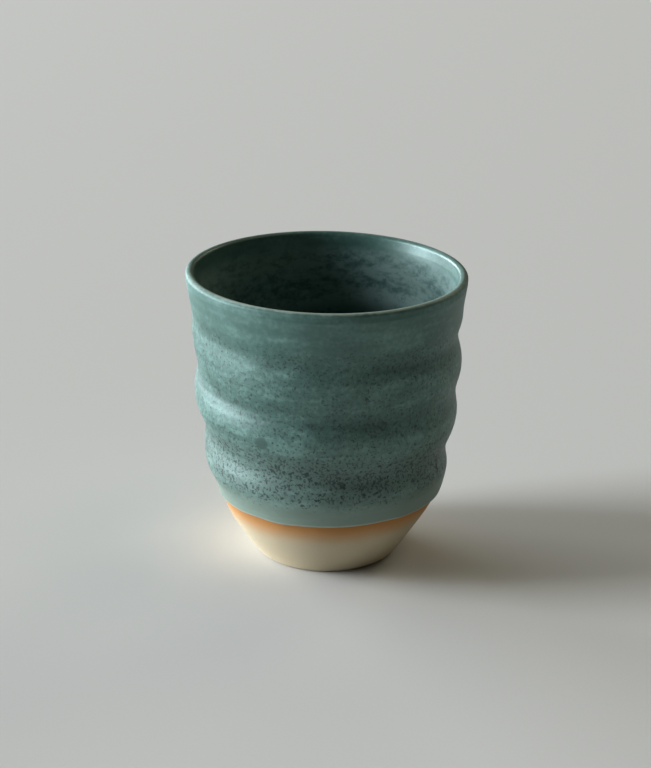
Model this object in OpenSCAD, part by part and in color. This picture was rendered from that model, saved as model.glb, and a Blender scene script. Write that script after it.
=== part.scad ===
// Wheel-thrown stoneware cortado cup without a handle.
// The clay body carries a coat of glaze outside, inside and over the lip,
// and a toasted skin on the bare clay just below the glaze line.
// Millimetres, +Z up, origin at the centre of the foot on the table.

/* [Clay body] */
// Height of the clay from the table to the top of the lip
body_h = 76.75; // [72:0.25:90]
// Outside radius of the clay at the lip
lip_r = 35.75; // [33:0.25:40]
// Thickness of the clay at the lip
lip_t = 1.5; // [1:0.1:2.4]
// Height over which the wall thins towards the lip
lip_taper_h = 14; // [6:1:24]
// Thickness of the clay wall below the lip
wall_t = 2.6; // [2:0.1:4]
// Height of the clay floor inside, above the table
floor_h = 5.6; // [4:0.1:8]

/* [Outside curve] */
// Radius at which the line of the foot's side meets the table
foot_r = 18.2; // [16:0.1:21]
// Height of the trimmed bowl's middle
bowl_h = 12.5; // [9:0.5:16]
// How far the trimmed bowl's middle is drawn in from the lip
bowl_in = 9.4; // [8:0.05:11]
// Height of the belly, where the bowl turns into the wall
belly_h = 24; // [20:0.5:28]
// How far the belly is drawn in from the lip
belly_in = 5.4; // [4:0.05:7]
// Height of the slack stretch above the belly
waist_h = 31; // [27:0.5:37]
// How far the slack stretch is drawn in from the lip
waist_in = 4.6; // [3:0.05:6]
// Height of the wall's full stretch
swell_h = 44; // [38:0.5:52]
// How far the wall's full stretch is drawn in from the lip
swell_in = 2.55; // [1:0.05:4]
// Height of the neck, from which the lip flares
neck_h = 61; // [54:0.5:68]
// How far the neck is drawn in from the lip
neck_in = 2.15; // [0.5:0.05:4]

/* [Inside bowl] */
// Radius out to which the floor inside stays nearly level
floor_reach = 18; // [12:0.5:22]
// Length over which the wall inside runs down into the bowl
wall_reach = 12; // [6:0.5:16]

/* [Foot] */
// Rounding of the foot's outer edge
foot_round = 2; // [0.5:0.1:3]
// Radius of the shallow hollow under the foot
recess_r = 13.5; // [8:0.25:15.5]
// Depth of the hollow under the foot
recess_depth = 1.2; // [0.5:0.1:2]
// Width of the slope at the edge of the hollow
recess_bevel = 1.6; // [0.5:0.1:4]

/* [Throwing rings] */
// How far a ring stands out from the wall's mean curve
ring_amp = 0.6; // [0:0.05:1]
// How far a ring shows on the inside
ring_amp_inside = 0.3; // [0:0.05:0.8]
// Height from one ring to the next
ring_pitch = 15.9; // [8:0.1:24]
// Height of the lowest ring's crest
ring_h = 24.9; // [18:0.1:34]
// Height at which the rings begin
ring_from_h = 14; // [10:0.5:22]
// Height over which the rings grow to their full depth
ring_rise_h = 8; // [3:0.5:16]
// Height over which the rings die out below the lip
ring_fade_h = 16; // [6:0.5:24]

/* [Glaze] */
// Height of the glaze line on the clay
glaze_line_h = 17.3; // [10:0.1:28]
// Thickness of the glaze on the walls
glaze_t = 0.45; // [0.2:0.05:0.8]
// Extra thickness of the roll of glaze along the glaze line
roll_t = 0.2; // [0:0.05:0.5]
// Height of the roll of glaze
roll_h = 5; // [2:0.5:10]
// Thickness of the glaze where it breaks thin over the lip
rim_glaze_t = 0.25; // [0.1:0.05:0.6]
// Depth of the thin glaze below the lip, outside
rim_drop_outside = 2.2; // [1.6:0.1:5]
// Depth of the thin glaze below the lip, inside
rim_drop_inside = 2.8; // [1.6:0.1:5]
// Thickness of the glaze pooled at the middle of the floor
pool_t = 0.8; // [0.3:0.05:1.5]
// Radius over which the glaze pools
pool_r = 14; // [6:0.5:20]

/* [Toasted band] */
// Height of the toasted band below the glaze line
flash_h = 4.8; // [2:0.1:8]
// Depth to which the clay is toasted
flash_t = 0.3; // [0.15:0.05:0.6]

/* [Smoothness] */
// Spacing of the points along the curves
curve_step = 1.4; // [0.4:0.1:2]
// Facets around the cup
facets = 128; // [48:8:240]

/* [Hidden] */

// Angle between points on a rounding
arc_step = 15;

// Height and outside radius of the clay at each station of its curve
stations = [
    [0, foot_r],
    [bowl_h, lip_r - bowl_in],
    [belly_h, lip_r - belly_in],
    [waist_h, lip_r - waist_in],
    [swell_h, lip_r - swell_in],
    [neck_h, lip_r - neck_in],
    [body_h, lip_r]
];
top_station = len(stations) - 1;

lip_round = lip_t / 2;
lip_h = body_h - lip_round;
rim_outside_h = body_h - rim_drop_outside;
rim_inside_h = body_h - rim_drop_inside;
roll_round = glaze_t + roll_t;
flash_from_h = glaze_line_h - flash_h;

// Eases from 0 to 1 as t goes from 0 to 1
function ease(t) = let (u = min(max(t, 0), 1)) u * u * (3 - 2 * u);

function tail(list) = [for (i = [1 : len(list) - 1]) list[i]];

function stretch(list, from, to) = [for (i = [from : to]) list[i]];

function reversed(list) = [for (i = [len(list) - 1 : -1 : 0]) list[i]];

// Heights from one to another, about curve_step apart
function heights(from, to) =
    let (n = ceil(abs(to - from) / curve_step))
    [for (i = [0 : n]) from + (to - from) * i / n];

// Lean of the curve at a station, from its neighbours
function lean(i) =
    let (below = stations[max(i - 1, 0)], above = stations[min(i + 1, top_station)])
    (above[1] - below[1]) / (above[0] - below[0]);

// Mean outside radius of the clay at a height: a smooth cubic through the stations
function curve_r(z) =
    let (
        i = max([for (k = [0 : top_station - 1]) if (k == 0 || z >= stations[k][0]) k]),
        rise = stations[i + 1][0] - stations[i][0],
        t = (z - stations[i][0]) / rise,
        from_r = stations[i][1],
        to_r = stations[i + 1][1]
    )
    from_r * (1 - ease(t)) + to_r * ease(t)
    + rise * t * (1 - t) * (lean(i) * (1 - t) - lean(i + 1) * t);

// Throwing ring at a height: 1 on a full crest, -1 in a full groove
function ring(z) =
    ease((z - ring_from_h) / ring_rise_h)
    * ease((lip_h - z) / ring_fade_h)
    * cos(360 * (z - ring_h) / ring_pitch);

function wall(z) = lip_t + (wall_t - lip_t) * ease((lip_h - z) / lip_taper_h);

function outside_r(z) = curve_r(z) + ring_amp * ring(z);

function inside_r(z) = curve_r(z) - wall(z) + ring_amp_inside * ring(z);

function outside(hs) = [for (z = hs) [outside_r(z), z]];

function inside(hs) = [for (z = hs) [inside_r(z), z]];

// Points on an arc about a centre
function arc(centre, radius, from, to) =
    let (n = ceil(abs(to - from) / arc_step))
    [for (i = [0 : n]) let (a = from + (to - from) * i / n) centre + radius * [cos(a), sin(a)]];

// Point on a cubic with end points a and d and handles b and c
function cubic(a, b, c, d, t) =
    a * (1 - t) ^ 3 + 3 * b * t * (1 - t) ^ 2 + 3 * c * t ^ 2 * (1 - t) + d * t ^ 3;

// Direction out of the clay at a point of a path that has the clay on its left.
// On the axis the surface is level.
function out_of_clay(path, i) =
    let (
        before = path[max(i - 1, 0)],
        after = path[min(i + 1, len(path) - 1)],
        along = (after - before) / norm(after - before)
    )
    path[i].x == 0 ? [0, 1] : [along.y, -along.x];

// The path moved out of the clay by a thickness at each point
function coated(path, thickness) =
    [for (i = [0 : len(path) - 1]) path[i] + thickness[i] * out_of_clay(path, i)];

// Clay under the glaze, from the glaze line up and over the lip to the middle of the floor
roll_heights = [for (a = [0 : arc_step : 90 - arc_step]) glaze_line_h + roll_round * (1 - cos(a))];
wall_skin = outside(concat(roll_heights, heights(glaze_line_h + roll_round, rim_outside_h)));
rim_skin = concat(
    tail(outside(heights(rim_outside_h, lip_h))),
    tail(arc([outside_r(lip_h) - lip_round, lip_h], lip_round, 0, 180)),
    tail(inside(heights(lip_h, rim_inside_h)))
);
liner_wall = tail(inside(heights(rim_inside_h, belly_h)));
bowl_top = inside([belly_h])[0];
bowl_lean = (inside_r(belly_h + curve_step) - inside_r(belly_h)) / curve_step;
bowl_points = ceil((bowl_top.x + belly_h) / curve_step);
liner_bowl = [for (i = [1 : bowl_points]) cubic(
    bowl_top,
    bowl_top - wall_reach * [bowl_lean, 1],
    [floor_reach, floor_h],
    [0, floor_h],
    i / bowl_points
)];
skin = concat(wall_skin, rim_skin, liner_wall, liner_bowl);
rim_from = len(wall_skin) - 1;
rim_to = rim_from + len(rim_skin);
floor_middle = len(skin) - 1;

// Thickness of the glaze on the wall: a rounded roll at the glaze line, then even
function wall_glaze(z) =
    let (up = z - glaze_line_h, edge = 1 - min(up / roll_round, 1))
    (glaze_t + roll_t * (1 - ease(up / roll_h))) * sqrt(1 - edge ^ 2);

// Thickness of the glaze on the rim, thinnest half way over the lip
function rim_glaze_at(i) =
    glaze_t + (rim_glaze_t - glaze_t) * sin(180 * (i - rim_from) / (rim_to - rim_from));

function liner_glaze(r) = glaze_t + (pool_t - glaze_t) * ease(1 - r / pool_r);

glaze = coated(skin, [for (i = [0 : floor_middle])
    i < rim_from ? wall_glaze(skin[i].y) : i <= rim_to ? rim_glaze_at(i) : liner_glaze(skin[i].x)
]);

// Foot, with its outer edge rounded onto the leaning side
foot_lean = atan(lean(0));
foot_inset = foot_round * tan((90 - foot_lean) / 2);
foot_arc = arc([foot_r - foot_inset, foot_round], foot_round, -90, -foot_lean);
foot_top_h = foot_round * (1 - sin(foot_lean));
bare_side = tail(outside(heights(foot_top_h, flash_from_h)));
flash_skin = outside(heights(flash_from_h, glaze_line_h));
flash_seat = coated(flash_skin, [for (p = flash_skin) -flash_t]);
underside = [
    [0, recess_depth],
    [recess_r - recess_bevel, recess_depth],
    [recess_r, 0]
];

// Turns an outline of radius and height about the cup's axis
module turned(outline) {
    rotate_extrude($fn = facets) polygon(outline);
}

// Layer between two paths that run the same way
module layer(under, over) {
    turned(concat(under, reversed(over)));
}

// Thrown and trimmed stoneware, from the foot to the lip
module clay_body() {
    color("#d3c9ae") turned(concat(underside, foot_arc, bare_side, flash_seat, skin));
}

// Satin blue-green glaze on the outside wall
module outer_glaze() {
    color("#5d7c75") layer(stretch(skin, 0, rim_from), stretch(glaze, 1, rim_from));
}

// The same glaze lining the inside
module inner_glaze() {
    color("#557269") layer(stretch(skin, rim_to, floor_middle), stretch(glaze, rim_to, floor_middle));
}

// Glaze broken thin over the lip
module rim_glaze() {
    color("#8b998b") layer(stretch(skin, rim_from, rim_to), stretch(glaze, rim_from, rim_to));
}

// Toasted skin of the bare clay below the glaze line
module flash_band() {
    color("#b07c4b") layer(flash_seat, flash_skin);
}

clay_body();
outer_glaze();
inner_glaze();
rim_glaze();
flash_band();
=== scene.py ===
import math

import bpy
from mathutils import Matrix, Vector, noise


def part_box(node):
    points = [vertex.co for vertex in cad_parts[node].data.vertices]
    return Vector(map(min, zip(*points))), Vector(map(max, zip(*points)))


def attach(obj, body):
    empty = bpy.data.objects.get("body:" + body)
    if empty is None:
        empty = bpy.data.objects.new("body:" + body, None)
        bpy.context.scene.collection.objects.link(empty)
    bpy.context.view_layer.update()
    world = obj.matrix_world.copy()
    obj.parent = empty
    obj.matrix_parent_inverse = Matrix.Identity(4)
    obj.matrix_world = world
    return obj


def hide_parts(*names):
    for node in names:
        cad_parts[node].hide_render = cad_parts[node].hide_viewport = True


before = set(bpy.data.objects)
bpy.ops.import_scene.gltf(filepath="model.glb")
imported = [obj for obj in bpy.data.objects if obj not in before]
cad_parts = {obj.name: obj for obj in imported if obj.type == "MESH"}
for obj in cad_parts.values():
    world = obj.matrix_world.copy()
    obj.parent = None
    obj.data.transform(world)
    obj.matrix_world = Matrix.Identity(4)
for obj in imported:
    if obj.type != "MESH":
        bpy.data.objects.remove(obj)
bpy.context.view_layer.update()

# A thrown cup, buff stoneware under celadon. Lengths are in millimetres where no heading says metres.
MM = 0.001
TURN = 2 * math.pi

# Clay body: heights from the frame, curve and walls as in the solids
BODY_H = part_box("clay_body")[1][2] / MM
LIP_R = 35.75
LIP_T = 1.5
LIP_H = BODY_H - LIP_T / 2
LIP_TAPER_H = 14
WALL_T = 2.6
FLOOR_H = 5.6
FLOOR_REACH = 18
WALL_REACH = 12
BELLY_H = 24
FOOT_ROUND = 2
RECESS_R = 13.5
RECESS_DEPTH = 1.2
RECESS_BEVEL = 1.6

# Height and outside radius of the clay at each station of its curve, foot to lip
STATIONS = [
    (0, 18.2),
    (12.5, 26.35),
    (BELLY_H, 30.35),
    (31, 31.15),
    (44, 33.2),
    (61, 33.6),
    (BODY_H, LIP_R),
]

# Glaze and toasted band
GLAZE_T = 0.45
GLAZE_LINE_H = 17.3
ROLL_T = 0.2
ROLL_H = 5
ROLL_ROUND = GLAZE_T + ROLL_T
RIM_GLAZE_T = 0.2
RIM_OUTSIDE_H = BODY_H - 2.2
RIM_INSIDE_H = BODY_H - 2.8
POOL_T = 0.8
POOL_R = 14
FLASH_T = 0.3
FLASH_FROM_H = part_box("flash_band")[0][2] / MM

# Throwing ridge: one spiral that falls as it goes round to the right of the front
RIDGE_PITCH = 15.9
RIDGE_RIGHT_H = 36.8
RIDGE_DEPTH = 0.62
RIDGE_DEPTH_INSIDE = 0.35
RIDGE_FROM_H = 9
RIDGE_RISE_H = 11
RIDGE_LOW_H = 21
RIDGE_TOP_H = 70
RIDGE_FADE_H = 10
VALLEY_SHARP = 0.12

# Where the ridge sags and where it is shallow, and how narrow both places are
RIDGE_SAG = 1.5
SAG_AT = math.radians(235)
RIDGE_SHALLOW = 0.4
SHALLOW_AT = math.radians(225)
SHALLOW_FROM_H = 46
SHALLOW_RISE_H = 10
FACING_POWER = 4

# Fine throwing lines, the wall's uneven swell, and how near the axis nothing is pushed out
LINE_PITCH = 2.1
LINE_DEPTH = 0.012
UNEVEN_SIZE = 24
UNEVEN_DEPTH = 0.12
SWELL_RIGHT = 0.4
STILL_R = 1

# Hand-made lip and glaze line
LIP_DROP = 1.4
LIP_DROP_FROM_H = 45
WAVE_RISE = 0.45
WAVE_OUT = 0.25
WAVE_AT = math.radians(307)
WAVE_SPREAD_H = 4
RIPPLE_RISE = 0.35
RIPPLE_SIZE = 8

# Fineness of the meshes: steps along a path, then in degrees, then as a share of the recess's bevel
SEGMENTS = 240
FINE_STEP = 0.35
COARSE_STEP = 1.2
ARC_STEP = 7.5
ROLL_STEP = 15
BEVEL_STEP = 0.1
MERGE_GAP = 0.01
SMOOTH_BELOW = math.radians(40)

# Sizes of the surfaces' patterns
CLOUD_MM = 11
STREAK_MM = 2.2
SMUDGE_MM = 1.1
BLOTCH_MM = 3
SPECK_MM = 1.2
FINE_SPECK_MM = 0.65
GROG_MM = 0.5
PAPER_MM = 0.8

# How patterns are squeezed along x, y and z: clouds and blotches lie level, streaks run round the cup
CLOUD_SQUEEZE = (1, 1, 1.8)
STREAK_SQUEEZE = (0.08, 0.08, 1)
BLOTCH_SQUEEZE = (0.8, 0.8, 1.6)
NO_HEIGHT = (1, 1, 0)

# Depths of the surfaces' relief
BLOOM_RELIEF = 0.05
BLOTCH_RELIEF = 0.06
GROG_RELIEF = 0.06

# Heights between which the glaze changes, and how far a change wanders up and down
WANDER_H = 5
ROLL_TOP = (18.5, 25.5)
NECK = (74.5, 61.5)
BELLY = (43.5, 32.5)
PALE_ROLL = (GLAZE_LINE_H + 9, GLAZE_LINE_H + 2)
PALE_EDGE = (GLAZE_LINE_H + 0.9, GLAZE_LINE_H + 0.2)
GLOSSY_BAND = (74.5, 70.5)
# Painted shade: the inside glaze darkens between these heights, going down
PAINTED_SHADE_HEIGHTS = (61, 49)
THIN_CREST = (BODY_H - 0.2, BODY_H + 0.2)
CREST_WANDER = (-0.3, 0.3)

# Heights between which the bare clay is toasted and scorched, and how far they wander
TOASTED = (FLASH_FROM_H - 2, GLAZE_LINE_H + 0.2)
SCORCHED = (GLAZE_LINE_H - 2, GLAZE_LINE_H + 2)
TOAST_WANDER_H = 2

# What makes the glaze's bloom: how much each pattern counts, and the levels it runs between.
# Smudges count for less where the glaze is smooth than where it is broken.
CLOUD_SHARE = 0.65
STREAK_SHARE = 0.4
RIDGE_SHARE = 0.06
SMUDGE_SHARES = (0.3, 0.6)
SMUDGE_MIDDLE = 0.5
BLOOM = (0.14, 0.95)
THIN_BLOOM = (0, 0.55)
THICK_BLOOM = (0.4, 1)

# The same inside, where blotches count in full, and most bloom lies where the wall stands inwards
INSIDE_SHARE = 0.4
INSIDE_RIDGE_SHARE = -0.12
INSIDE_BLOOM = (0.46, 0.8)

# Iron in the glaze: more where it is broken and on the belly, less under the bloom.
# It shows as a speck of a size where the pattern of that size, with the iron, passes a level.
BROKEN_IRON = 0.165
BELLY_IRON = 0.03
BLOOM_IRON = -0.15
SPECKS = [(FINE_SPECK_MM, 0.67), (SPECK_MM, 0.73)]
SPECK_SOFT = 0.045

# How strongly a tone covers the one below it; a pair runs from the first place named to the second
BELLY_GREY = 0.22
WALL_AND_BELLY_SPECKS = (0.8, 0.94)
DRIP_SHADE = 0.9
ROLL_PALENESS = 0.8
# Painted shade: how strongly the lower inside is darkened
PAINTED_SHADE_STRENGTH = 0.9
# The thin crest's paleness at the front of the lip, and at the back, where painted shade dims it
THIN_FRONT_SHADED_BACK_LIP = (0.75, 0.1)

# The drip mark
SPOT_AT = (-16.3, -29.8, 40.6)
SPOT_R = 1.7
SPOT_BLUR = 0.3

# Where the lip's pale crest is strongest and where painted shade dims it most, from front to back
LIP_SHADE_SPAN = (-LIP_R, LIP_R / 3)

# Roughness of each finish between its smoothest and its roughest, and the strength of the glaze's sheen
WALL_ROUGH = (0.46, 0.6)
SPECK_ROUGHER = 0.25
INSIDE_ROUGH = (0.4, 0.65)
LIP_ROUGH = (0.4, 0.6)
CLAY_ROUGH = (0.72, 0.9)
PAPER_ROUGH = 0.85
WALL_SHEEN = 1
INSIDE_SHEEN = 0.72

# Colours, as sRGB
SHEEN_GREEN = "#e0fffb"
DEEP_GREEN = "#27453e"
SEA_GREEN = "#3c5d56"
MILKY_GREEN = "#6e9189"
IRON_GREY = "#7d8780"
IRON_SPECK = "#12211d"
DRIP_GREEN = "#2c4640"
ROLL_GREEN = "#75877b"
EDGE_GREY = "#949e90"
INSIDE_GREEN = "#1d433e"
INSIDE_GREY = "#59736f"
# Painted shade: the dark green laid over the lower inside
PAINTED_SHADE_GREEN = "#0f3330"
LIP_GREY = "#9caea2"
DARK_BUFF = "#b8ac8f"
PALE_BUFF = "#c4b89d"
TOAST_BROWN = "#b17f45"
SCORCH_BROWN = "#9e6933"
DARK_PAPER = "#cecfcc"
PALE_PAPER = "#d2d3d0"
DAYLIGHT = "#f5f9ff"
ROOM_GLOW = "#fff4da"

# Table, in metres: so wide that its edge is out of sight
TABLE_W = 400

# Camera: where the photograph was taken from, how many degrees it looked down, and its lens
CAMERA_AT = (-0.36, -508.1, 235.7)
CAMERA_DOWN = 20.55
PHOTO_H = 768
FOCAL_PX = 2090
SENSOR = 36

# Soft light, in metres: a wide window at the left, and the glow of the room.
# Each lamp has its turn from +X and its rise in degrees, its width, height, watts and colour.
LAMP_AWAY = 8
LAMPS = [
    ("window_low", 180, 4, 2.8, 2.0, 820, DAYLIGHT),
    ("window_high", 180, 25, 2.8, 2.8, 550, DAYLIGHT),
    ("window_side", 142, 9, 5.6, 2.4, 860, DAYLIGHT),
    ("window_front", 199, 5, 1.4, 2.0, 70, DAYLIGHT),
    ("room_top", 0, 60, 2.8, 2.8, 44, ROOM_GLOW),
    ("room_right", 45, 30, 2.8, 2.8, 70, ROOM_GLOW),
    ("room_back", 90, 45, 2.8, 2.8, 36, ROOM_GLOW),
]
ROOM_STRENGTH = 0.04

# Settings that many nodes share, and the sockets of a colour mix
SMOOTH = {"interpolation_type": "SMOOTHSTEP"}
COLOURS = {"data_type": "RGBA"}
FACTOR, FROM, TO, MIXED = 0, 6, 7, 2


def ease(t):
    """Goes smoothly from 0 to 1 as t does."""
    u = min(max(t, 0), 1)
    return u * u * (3 - 2 * u)


def steps(start, end, spacing):
    """Values from start to end, about a spacing apart."""
    count = max(math.ceil(abs(end - start) / spacing), 1)
    return [start + (end - start) * i / count for i in range(count + 1)]


def lean(i):
    """Lean of the clay's curve at a station, from its neighbours."""
    low = STATIONS[max(i - 1, 0)]
    high = STATIONS[min(i + 1, len(STATIONS) - 1)]
    return (high[1] - low[1]) / (high[0] - low[0])


def curve_r(z):
    """Outside radius of the clay at a height: a smooth cubic through the stations."""
    i = max(k for k in range(len(STATIONS) - 1) if k == 0 or z >= STATIONS[k][0])
    (low_h, low_r), (high_h, high_r) = STATIONS[i], STATIONS[i + 1]
    rise = high_h - low_h
    t = (z - low_h) / rise
    blend = t * t * (3 - 2 * t)
    bend = rise * t * (1 - t) * (lean(i) * (1 - t) - lean(i + 1) * t)
    return low_r * (1 - blend) + high_r * blend + bend


def inside_r(z):
    """Inside radius of the clay wall, which thins towards the lip."""
    return curve_r(z) - LIP_T - (WALL_T - LIP_T) * ease((LIP_H - z) / LIP_TAPER_H)


def outside(heights):
    """Points on the outside of the clay."""
    return [(curve_r(z), z) for z in heights]


def inside(heights):
    """Points on the inside of the clay wall."""
    return [(inside_r(z), z) for z in heights]


def arc(centre, radius, start, end):
    """Points on an arc about a centre, between two angles in degrees."""
    angles = [math.radians(a) for a in steps(start, end, ARC_STEP)]
    return [(centre[0] + radius * math.cos(a), centre[1] + radius * math.sin(a)) for a in angles]


def bowl(spacing):
    """The inside of the clay from the belly down to the middle of the floor, one cubic curve."""
    top = inside_r(BELLY_H)
    slope = inside_r(BELLY_H + 1) - top
    points = [
        (top, BELLY_H),
        (top - WALL_REACH * slope, BELLY_H - WALL_REACH),
        (FLOOR_REACH, FLOOR_H),
        (0, FLOOR_H),
    ]
    path = []
    for t in steps(0, 1, spacing / (top + BELLY_H)):
        weights = ((1 - t) ** 3, 3 * t * (1 - t) ** 2, 3 * t * t * (1 - t), t ** 3)
        path.append(tuple(sum(w * p[k] for w, p in zip(weights, points)) for k in (0, 1)))
    return path


def coated(path, thickness):
    """The path moved out of the clay on its left by a thickness at each point."""
    moved = []
    for i, (r, z) in enumerate(path):
        before = path[max(i - 1, 0)]
        after = path[min(i + 1, len(path) - 1)]
        along = math.hypot(after[0] - before[0], after[1] - before[1])
        out = ((after[1] - before[1]) / along, -(after[0] - before[0]) / along)
        if r == 0:
            out = (0, 1)
        moved.append((r + thickness[i] * out[0], z + thickness[i] * out[1]))
    return moved


def wall_path(spacing):
    """Clay under the outside glaze, from the glaze line to the rim."""
    edge = [GLAZE_LINE_H + ROLL_ROUND * (1 - math.cos(math.radians(a))) for a in range(0, 90, ROLL_STEP)]
    return outside(edge + steps(GLAZE_LINE_H + ROLL_ROUND, RIM_OUTSIDE_H, spacing))


def rim_path(spacing):
    """Clay under the rim's glaze, up the outside, over the lip and down the inside."""
    lip = arc((curve_r(LIP_H) - LIP_T / 2, LIP_H), LIP_T / 2, 0, 180)
    return (
        outside(steps(RIM_OUTSIDE_H, LIP_H, spacing))
        + lip[1:-1]
        + inside(steps(LIP_H, RIM_INSIDE_H, spacing))
    )


def liner_path(spacing):
    """Clay under the liner, from the rim down to the middle of the floor."""
    return inside(steps(RIM_INSIDE_H, BELLY_H, spacing)) + bowl(spacing)[1:]


def wall_glaze_t(z):
    """Thickness of the outside glaze: a rounded roll at the glaze line, then even."""
    up = z - GLAZE_LINE_H
    edge = 1 - min(max(up, 0) / ROLL_ROUND, 1)
    return (GLAZE_T + ROLL_T * (1 - ease(up / ROLL_H))) * math.sqrt(1 - edge * edge)


def rim_glaze_t(share):
    """Thickness of the rim's glaze, thinnest half way over the lip."""
    return GLAZE_T + (RIM_GLAZE_T - GLAZE_T) * math.sin(math.pi * share)


def liner_glaze_t(r):
    """Thickness of the liner, pooled at the middle of the floor."""
    return GLAZE_T + (POOL_T - GLAZE_T) * ease(1 - r / POOL_R)


def glaze_surface():
    """The glaze's outer skin in its three stretches: wall, rim and liner."""
    wall, rim, liner = wall_path(FINE_STEP), rim_path(FINE_STEP), liner_path(FINE_STEP)
    thickness = [wall_glaze_t(z) for r, z in wall]
    thickness += [rim_glaze_t(i / (len(rim) - 1)) for i in range(1, len(rim))]
    thickness += [liner_glaze_t(r) for r, z in liner[1:]]
    skin = coated(wall + rim[1:] + liner[1:], thickness)
    rim_start = len(wall) - 1
    rim_end = rim_start + len(rim) - 1
    return skin[1:rim_start + 1], skin[rim_start:rim_end + 1], skin[rim_end:]


def flash_skin():
    """The outside of the toasted band."""
    return outside(steps(FLASH_FROM_H, GLAZE_LINE_H, FINE_STEP))


def flash_seat():
    """The clay under the toasted band."""
    skin = flash_skin()
    return coated(skin, [-FLASH_T] * len(skin))


def clay_outline():
    """The clay from the middle of the hollow under the foot, up the side, over the lip, to the floor."""
    recess = [(r, RECESS_DEPTH) for r in steps(0, RECESS_R - RECESS_BEVEL, FINE_STEP)[:-1]]
    for t in steps(0, 1, BEVEL_STEP):
        recess.append((RECESS_R - RECESS_BEVEL * (1 - t), RECESS_DEPTH * (1 - ease(t))))
    foot_lean = math.atan(lean(0))
    inset = FOOT_ROUND * math.tan((math.pi / 2 - foot_lean) / 2)
    foot = arc((STATIONS[0][1] - inset, FOOT_ROUND), FOOT_ROUND, -90, -math.degrees(foot_lean))
    side = outside(steps(FOOT_ROUND * (1 - math.sin(foot_lean)), FLASH_FROM_H, FINE_STEP))[1:]
    glazed = wall_path(COARSE_STEP) + rim_path(COARSE_STEP)[1:] + liner_path(COARSE_STEP)[1:]
    return recess + foot + side + flash_seat() + glazed


def on_wall(z):
    """How fully a height is on the wall that the ridge runs over, from 0 to 1."""
    return ease((z - RIDGE_FROM_H) / RIDGE_RISE_H) * ease((RIDGE_TOP_H - z) / RIDGE_FADE_H)


def facing(turn, side):
    """How squarely a turn faces a side of the cup: 1 at it, falling to 0 a quarter turn away."""
    return max(math.cos(turn - side), 0) ** FACING_POWER


def ridge(x, y, z):
    """How the spiral ridge stands at a point: near 1 on a crest, under -1 in a groove, 0 off the wall."""
    turn = math.atan2(y, x)
    sag = RIDGE_SAG * facing(turn, SAG_AT)
    phase = TURN * (max(z + sag, RIDGE_LOW_H) - RIDGE_RIGHT_H) / RIDGE_PITCH + turn
    shallow = facing(turn, SHALLOW_AT) * ease((z - SHALLOW_FROM_H) / SHALLOW_RISE_H)
    depth = 1 - RIDGE_SHALLOW * shallow
    return on_wall(z) * depth * (math.cos(phase) - VALLEY_SHARP * math.cos(2 * phase))


def thrown(x, y, z):
    """Where the potter's hands leave a point of the evenly turned cup."""
    r = math.hypot(x, y)
    turn = math.atan2(y, x)
    wall = on_wall(z)
    if r > curve_r(z) - WALL_T / 2:
        out = RIDGE_DEPTH * ridge(x, y, z) + LINE_DEPTH * wall * math.sin(TURN * z / LINE_PITCH + turn)
    else:
        out = RIDGE_DEPTH_INSIDE * ridge(x, y, z)
    out += UNEVEN_DEPTH * wall * noise.noise(Vector((x, y, z)) / UNEVEN_SIZE)
    out += SWELL_RIGHT * wall * max(math.cos(turn), 0)
    by_line = math.exp(-((z - GLAZE_LINE_H) / WAVE_SPREAD_H) ** 2)
    wave = math.cos(turn - WAVE_AT) * by_line
    ripple = noise.noise(Vector((x, y, 0)) / RIPPLE_SIZE) * by_line
    out += WAVE_OUT * wave
    drop = LIP_DROP * (1 + x / LIP_R) / 2 * ease((z - LIP_DROP_FROM_H) / (BODY_H - LIP_DROP_FROM_H))
    grow = (r + out) / r if r > STILL_R else 1
    return x * grow, y * grow, z + WAVE_RISE * wave + RIPPLE_RISE * ripple - drop


def turn_piece(name, outline, closed):
    """Extrudes a point along an outline, joins the ends of a closed one, spins it about the cup's axis and
    gives it the potter's marks. Its points keep their even height and the ridge's, for the materials."""
    bpy.ops.object.select_all(action="DESELECT")
    bpy.ops.mesh.primitive_plane_add(size=MM)
    piece = bpy.context.object
    piece.name = name
    bpy.ops.object.mode_set(mode="EDIT")
    bpy.ops.mesh.merge(type="CENTER")
    points = [Vector((r * MM, 0, z * MM)) for r, z in outline]
    bpy.ops.transform.translate(value=points[0])
    for before, after in zip(points, points[1:]):
        bpy.ops.mesh.extrude_region_move(TRANSFORM_OT_translate={"value": after - before})
    if closed:
        bpy.ops.object.mode_set(mode="OBJECT")
        piece.data.vertices[0].select = True
        bpy.ops.object.mode_set(mode="EDIT")
        bpy.ops.mesh.edge_face_add()
    bpy.ops.object.mode_set(mode="OBJECT")
    bpy.ops.object.modifier_add(type="SCREW")
    lathe = piece.modifiers["Screw"]
    lathe.steps = SEGMENTS
    lathe.render_steps = SEGMENTS
    lathe.use_merge_vertices = True
    lathe.merge_threshold = MERGE_GAP * MM
    bpy.ops.object.modifier_apply(modifier="Screw")
    bpy.ops.object.mode_set(mode="EDIT")
    bpy.ops.mesh.select_all(action="SELECT")
    bpy.ops.mesh.remove_doubles(threshold=MERGE_GAP * MM)
    bpy.ops.mesh.normals_make_consistent(inside=False)
    bpy.ops.object.mode_set(mode="OBJECT")
    even = [vertex.co / MM for vertex in piece.data.vertices]
    marks = {"turned_h": [place.z for place in even], "ridge": [ridge(*place) for place in even]}
    for mark, values in marks.items():
        piece.data.attributes.new(mark, "FLOAT", "POINT").data.foreach_set("value", values)
    for vertex, place in zip(piece.data.vertices, even):
        vertex.co = Vector(thrown(*place)) * MM
    bpy.ops.object.shade_smooth_by_angle(angle=SMOOTH_BELOW)
    return piece


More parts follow.
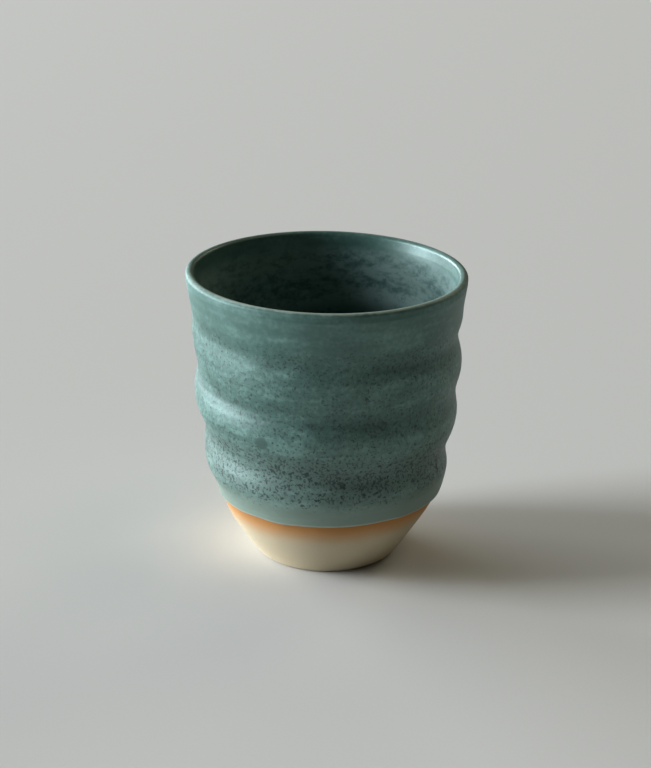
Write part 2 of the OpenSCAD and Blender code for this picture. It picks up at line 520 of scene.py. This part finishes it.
wall_skin, rim_skin, liner_skin = glaze_surface()
pieces = {
    "clay_body": turn_piece("thrown_clay", clay_outline(), False),
    "outer_glaze": turn_piece("wall_glaze", wall_path(COARSE_STEP) + wall_skin[::-1], True),
    "inner_glaze": turn_piece("liner_glaze", liner_path(COARSE_STEP) + liner_skin[::-1], False),
    "rim_glaze": turn_piece("lip_glaze", rim_path(FINE_STEP) + rim_skin[::-1], True),
    "flash_band": turn_piece("toasted_band", flash_seat() + flash_skin()[::-1], True),
}


def linear(hex_colour):
    """An sRGB hex colour as linear RGBA."""
    parts = [int(hex_colour[i:i + 2], 16) / 255 for i in (1, 3, 5)]
    return [c / 12.92 if c <= 0.04045 else ((c + 0.055) / 1.055) ** 2.4 for c in parts] + [1]


def add(tree, kind, inputs=(), **settings):
    """Adds a node with its settings, sets or links its inputs, and gives its outputs."""
    node = tree.nodes.new("ShaderNode" + kind)
    for name, value in settings.items():
        setattr(node, name, value)
    named = inputs if isinstance(inputs, dict) else dict(enumerate(inputs))
    for key, value in named.items():
        if isinstance(value, bpy.types.NodeSocket):
            tree.links.new(value, node.inputs[key])
        else:
            node.inputs[key].default_value = value
    return node.outputs


def material(name):
    """A new material, its nodes, its shader's inputs and its surface's place in millimetres."""
    made = bpy.data.materials.new(name)
    made.use_nodes = True
    tree = made.node_tree
    metres = add(tree, "TexCoord")["Object"]
    place = add(tree, "VectorMath", {0: metres, "Scale": 1 / MM}, operation="SCALE")[0]
    return made, tree, tree.nodes["Principled BSDF"].inputs, place


def celadon(tree, shader, place):
    """Celadon glaze: clear sea green under a milky bloom, thickest on the ridges and drawn round the cup
    in streaks, with a sea-green sheen. Gives its colour, its bloom, where it is broken rather than smooth,
    and its wandering height."""
    shader["Specular Tint"].default_value = linear(SHEEN_GREEN)
    height = add(tree, "Attribute", attribute_name="turned_h")["Fac"]
    crest = add(tree, "Attribute", attribute_name="ridge")["Fac"]
    flat = add(tree, "VectorMath", [place, CLOUD_SQUEEZE], operation="MULTIPLY")[0]
    drawn = add(tree, "VectorMath", [place, STREAK_SQUEEZE], operation="MULTIPLY")[0]
    cloud = add(tree, "TexNoise", {"Vector": flat, "Scale": 1 / CLOUD_MM, "Detail": 3, "Roughness": 0.55})[0]
    streak = add(tree, "TexNoise", {"Vector": drawn, "Scale": 1 / STREAK_MM, "Detail": 2})[0]
    smudge = add(tree, "TexNoise", {"Vector": place, "Scale": 1 / SMUDGE_MM, "Detail": 2})[0]

    # Smooth in the roll above the glaze line and below the lip, broken between
    drift = add(tree, "MapRange", [cloud, 0, 1, -WANDER_H / 2, WANDER_H / 2])[0]
    wander = add(tree, "Math", [height, drift])[0]
    above_roll = add(tree, "MapRange", [wander, *ROLL_TOP], **SMOOTH)[0]
    below_lip = add(tree, "MapRange", [wander, *NECK], **SMOOTH)[0]
    broken = add(tree, "Math", [above_roll, below_lip], operation="MULTIPLY")[0]

    smudge_share = add(tree, "MapRange", [broken, 0, 1, *SMUDGE_SHARES])[0]
    bloom = add(tree, "Math", [smudge, SMUDGE_MIDDLE], operation="SUBTRACT")[0]
    bloom = add(tree, "Math", [bloom, smudge_share], operation="MULTIPLY")[0]
    bloom = add(tree, "Math", [cloud, CLOUD_SHARE, bloom], operation="MULTIPLY_ADD")[0]
    bloom = add(tree, "Math", [streak, STREAK_SHARE, bloom], operation="MULTIPLY_ADD")[0]
    bloom = add(tree, "Math", [crest, RIDGE_SHARE, bloom], operation="MULTIPLY_ADD")[0]
    bloom = add(tree, "MapRange", [bloom, *BLOOM])[0]
    low = add(tree, "MapRange", [bloom, *THIN_BLOOM], **SMOOTH)[0]
    high = add(tree, "MapRange", [bloom, *THICK_BLOOM], **SMOOTH)[0]
    green = {FACTOR: low, FROM: linear(DEEP_GREEN), TO: linear(SEA_GREEN)}
    colour = add(tree, "Mix", green, **COLOURS)[MIXED]
    colour = add(tree, "Mix", {FACTOR: high, FROM: colour, TO: linear(MILKY_GREEN)}, **COLOURS)[MIXED]
    return colour, bloom, broken, wander


def speckled_celadon(name):
    """Celadon outside, fired to a satin. Iron from the clay bleeds up through it in dull dark specks, most
    of them low on the belly. In the roll above the glaze line it is thick, smooth and pale."""
    made, tree, shader, place = material(name)
    height = add(tree, "Attribute", attribute_name="turned_h")["Fac"]
    colour, bloom, broken, wander = celadon(tree, shader, place)

    # Iron greys the belly, and comes up in specks, fewer where the bloom is thick
    belly = add(tree, "MapRange", [wander, *BELLY], **SMOOTH)[0]
    grey = add(tree, "MapRange", [belly, 0, 1, 0, BELLY_GREY])[0]
    colour = add(tree, "Mix", {FACTOR: grey, FROM: colour, TO: linear(IRON_GREY)}, **COLOURS)[MIXED]
    dark = add(tree, "MapRange", [belly, 0, 1, *WALL_AND_BELLY_SPECKS])[0]
    iron = add(tree, "Math", [broken, BROKEN_IRON], operation="MULTIPLY")[0]
    iron = add(tree, "Math", [belly, BELLY_IRON, iron], operation="MULTIPLY_ADD")[0]
    iron = add(tree, "Math", [bloom, BLOOM_IRON, iron], operation="MULTIPLY_ADD")[0]
    for size, least in SPECKS:
        seep = add(tree, "TexNoise", {"Vector": place, "Scale": 1 / size, "Detail": 3, "Roughness": 0.55})[0]
        seep = add(tree, "Math", [seep, iron])[0]
        speck = add(tree, "MapRange", [seep, least, least + SPECK_SOFT, 0, dark])[0]
        colour = add(tree, "Mix", {FACTOR: speck, FROM: colour, TO: linear(IRON_SPECK)}, **COLOURS)[MIXED]

    # A drip mark
    off = add(tree, "VectorMath", [place, SPOT_AT], operation="DISTANCE")["Value"]
    spot = add(tree, "MapRange", [off, SPOT_R + SPOT_BLUR, SPOT_R - SPOT_BLUR, 0, DRIP_SHADE], **SMOOTH)[0]
    colour = add(tree, "Mix", {FACTOR: spot, FROM: colour, TO: linear(DRIP_GREEN)}, **COLOURS)[MIXED]

    # The roll turns pale towards the glaze line, where the glaze runs out thin over the clay
    roll = add(tree, "MapRange", [height, *PALE_ROLL, 0, ROLL_PALENESS], **SMOOTH)[0]
    edge = add(tree, "MapRange", [height, *PALE_EDGE], **SMOOTH)[0]
    colour = add(tree, "Mix", {FACTOR: roll, FROM: colour, TO: linear(ROLL_GREEN)}, **COLOURS)[MIXED]
    colour = add(tree, "Mix", {FACTOR: edge, FROM: colour, TO: linear(EDGE_GREY)}, **COLOURS)[MIXED]
    tree.links.new(colour, shader["Base Color"])

    # Duller under the bloom, and dullest on the larger specks
    rough = add(tree, "MapRange", [bloom, 0, 1, *WALL_ROUGH])[0]
    rough = add(tree, "Math", [speck, SPECK_ROUGHER, rough], operation="MULTIPLY_ADD")[0]
    tree.links.new(rough, shader["Roughness"])
    shader["Specular IOR Level"].default_value = WALL_SHEEN
    relief = add(tree, "Math", [bloom, broken], operation="MULTIPLY")[0]
    bump = add(tree, "Bump", {"Height": relief, "Distance": BLOOM_RELIEF * MM, "Strength": 0.3})[0]
    tree.links.new(bump, shader["Normal"])
    return made


def mottled_celadon(name):
    """Celadon inside: smooth and glossy below the lip, then under a grey bloom in blotches that lie level,
    and darkened lower down by painted shade."""
    made, tree, shader, place = material(name)
    height = add(tree, "Attribute", attribute_name="turned_h")["Fac"]
    crest = add(tree, "Attribute", attribute_name="ridge")["Fac"]
    band, bloom, _, wander = celadon(tree, shader, place)
    level = add(tree, "VectorMath", [place, BLOTCH_SQUEEZE], operation="MULTIPLY")[0]
    grain = {"Vector": level, "Scale": 1 / BLOTCH_MM, "Detail": 4, "Roughness": 0.68}
    blotch = add(tree, "TexNoise", grain)[0]
    bloom = add(tree, "Math", [bloom, INSIDE_SHARE, blotch], operation="MULTIPLY_ADD")[0]
    bloom = add(tree, "Math", [crest, INSIDE_RIDGE_SHARE, bloom], operation="MULTIPLY_ADD")[0]
    bloom = add(tree, "MapRange", [bloom, *INSIDE_BLOOM], **SMOOTH)[0]
    # Painted shade: the inside darkens towards the bottom
    painted_shade = add(tree, "MapRange", [height, *PAINTED_SHADE_HEIGHTS, 0, PAINTED_SHADE_STRENGTH], **SMOOTH)[0]
    matte = add(tree, "MapRange", [wander, *GLOSSY_BAND], **SMOOTH)[0]
    mottle = {FACTOR: bloom, FROM: linear(INSIDE_GREEN), TO: linear(INSIDE_GREY)}
    colour = add(tree, "Mix", mottle, **COLOURS)[MIXED]
    colour = add(tree, "Mix", {FACTOR: painted_shade, FROM: colour, TO: linear(PAINTED_SHADE_GREEN)}, **COLOURS)[MIXED]
    colour = add(tree, "Mix", {FACTOR: matte, FROM: band, TO: colour}, **COLOURS)[MIXED]
    tree.links.new(colour, shader["Base Color"])
    rough = add(tree, "MapRange", [matte, 0, 1, *INSIDE_ROUGH])[0]
    tree.links.new(rough, shader["Roughness"])
    shader["Specular IOR Level"].default_value = INSIDE_SHEEN
    bump = add(tree, "Bump", {"Height": blotch, "Distance": BLOTCH_RELIEF * MM, "Strength": 0.25})[0]
    tree.links.new(bump, shader["Normal"])
    return made


def thin_celadon(name):
    """Celadon run thin over the lip: pale and grey along the crest, where the buff clay shows through; the
    paleness fades towards the back as painted shade. Satin outside, and glossier towards the inside."""
    made, tree, shader, place = material(name)
    height = add(tree, "Attribute", attribute_name="turned_h")["Fac"]
    back = add(tree, "SeparateXYZ", [place])["Y"]
    colour, bloom, _, _ = celadon(tree, shader, place)
    ragged = add(tree, "MapRange", [bloom, 0, 1, *CREST_WANDER])[0]
    crest = add(tree, "Math", [height, ragged])[0]
    # Real thin-glaze paleness on the crest, fading towards the back as painted shade
    thin_front_shaded_back = add(tree, "MapRange", [back, *LIP_SHADE_SPAN, *THIN_FRONT_SHADED_BACK_LIP], **SMOOTH)[0]
    thin = add(tree, "MapRange", [crest, *THIN_CREST, 0, thin_front_shaded_back], **SMOOTH)[0]
    colour = add(tree, "Mix", {FACTOR: thin, FROM: colour, TO: linear(LIP_GREY)}, **COLOURS)[MIXED]
    tree.links.new(colour, shader["Base Color"])
    level = add(tree, "VectorMath", [place, NO_HEIGHT], operation="MULTIPLY")[0]
    reach = add(tree, "VectorMath", [level], operation="LENGTH")["Value"]
    rough = add(tree, "MapRange", [reach, LIP_R - LIP_T, LIP_R, *LIP_ROUGH])[0]
    tree.links.new(rough, shader["Roughness"])
    shader["Specular IOR Level"].default_value = INSIDE_SHEEN
    return made


def bare_stoneware(name):
    """Unglazed buff stoneware, trimmed and fired: chalky and fine-grained, and toasted brown by the
    kiln in a band that fades away below the glaze line."""
    made, tree, shader, place = material(name)
    height = add(tree, "Attribute", attribute_name="turned_h")["Fac"]
    cloud = add(tree, "TexNoise", {"Vector": place, "Scale": 1 / CLOUD_MM, "Detail": 3})[0]
    grog = add(tree, "TexNoise", {"Vector": place, "Scale": 1 / GROG_MM, "Detail": 3, "Roughness": 0.7})[0]
    wander = add(tree, "Math", [cloud, TOAST_WANDER_H, height], operation="MULTIPLY_ADD")[0]
    toast = add(tree, "MapRange", [wander, *TOASTED], **SMOOTH)[0]
    scorch = add(tree, "MapRange", [wander, *SCORCHED], **SMOOTH)[0]
    buff = {FACTOR: grog, FROM: linear(DARK_BUFF), TO: linear(PALE_BUFF)}
    colour = add(tree, "Mix", buff, **COLOURS)[MIXED]
    colour = add(tree, "Mix", {FACTOR: toast, FROM: colour, TO: linear(TOAST_BROWN)}, **COLOURS)[MIXED]
    colour = add(tree, "Mix", {FACTOR: scorch, FROM: colour, TO: linear(SCORCH_BROWN)}, **COLOURS)[MIXED]
    tree.links.new(colour, shader["Base Color"])
    rough = add(tree, "MapRange", [grog, 0, 1, *CLAY_ROUGH])[0]
    tree.links.new(rough, shader["Roughness"])
    bump = add(tree, "Bump", {"Height": grog, "Distance": GROG_RELIEF * MM, "Strength": 0.6})[0]
    tree.links.new(bump, shader["Normal"])
    return made


def matte_paper(name):
    """Pale grey paper, with a faint tooth."""
    made, tree, shader, place = material(name)
    tooth = add(tree, "TexNoise", {"Vector": place, "Scale": 1 / PAPER_MM, "Detail": 3})[0]
    grey = {FACTOR: tooth, FROM: linear(DARK_PAPER), TO: linear(PALE_PAPER)}
    colour = add(tree, "Mix", grey, **COLOURS)[MIXED]
    tree.links.new(colour, shader["Base Color"])
    shader["Roughness"].default_value = PAPER_ROUGH
    shader["Specular IOR Level"].default_value = 0
    return made


finishes = {
    "clay_body": ("bare_clay", bare_stoneware("buff_stoneware")),
    "outer_glaze": ("outer_glaze", speckled_celadon("satin_celadon")),
    "inner_glaze": ("inner_glaze", mottled_celadon("mottled_celadon")),
    "rim_glaze": ("rim_glaze", thin_celadon("thin_celadon")),
    "flash_band": ("toasted_clay", bare_stoneware("toasted_stoneware")),
}
for node, (slot, finish) in finishes.items():
    piece = pieces[node]
    piece.data.materials.append(finish)
    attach(piece, "root")
    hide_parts(node)

# Table
bpy.ops.object.select_all(action="DESELECT")
bpy.ops.mesh.primitive_plane_add(size=TABLE_W)
table = bpy.context.object
table.name = "table"
table.data.materials.append(matte_paper("grey_paper"))

# Camera
bpy.ops.object.camera_add(
    location=[place * MM for place in CAMERA_AT],
    rotation=(math.radians(90 - CAMERA_DOWN), 0, 0),
)
camera = bpy.context.object
camera.data.sensor_width = SENSOR
camera.data.lens = FOCAL_PX / PHOTO_H * SENSOR
bpy.context.scene.camera = camera

# Lamps, all turned to the middle of the cup
middle = Vector((0, 0, BODY_H / 2 * MM))
for name, turn, rise, width, height, watts, colour in LAMPS:
    turn, rise = math.radians(turn), math.radians(rise)
    toward = Vector((math.cos(rise) * math.cos(turn), math.cos(rise) * math.sin(turn), math.sin(rise)))
    bpy.ops.object.light_add(type="AREA", location=middle + LAMP_AWAY * toward)
    lamp = bpy.context.object
    lamp.name = name
    lamp.rotation_euler = toward.to_track_quat("Z", "Y").to_euler()
    lamp.data.shape = "RECTANGLE"
    lamp.data.size = width
    lamp.data.size_y = height
    lamp.data.energy = watts
    lamp.data.color = linear(colour)[:3]

# Faint light from all sides of the room
world = bpy.data.worlds.new("room")
world.use_nodes = True
room = world.node_tree.nodes["Background"].inputs
room["Color"].default_value = linear(ROOM_GLOW)
room["Strength"].default_value = ROOM_STRENGTH
bpy.context.scene.world = world
bpy.context.scene.view_settings.view_transform = "Standard"
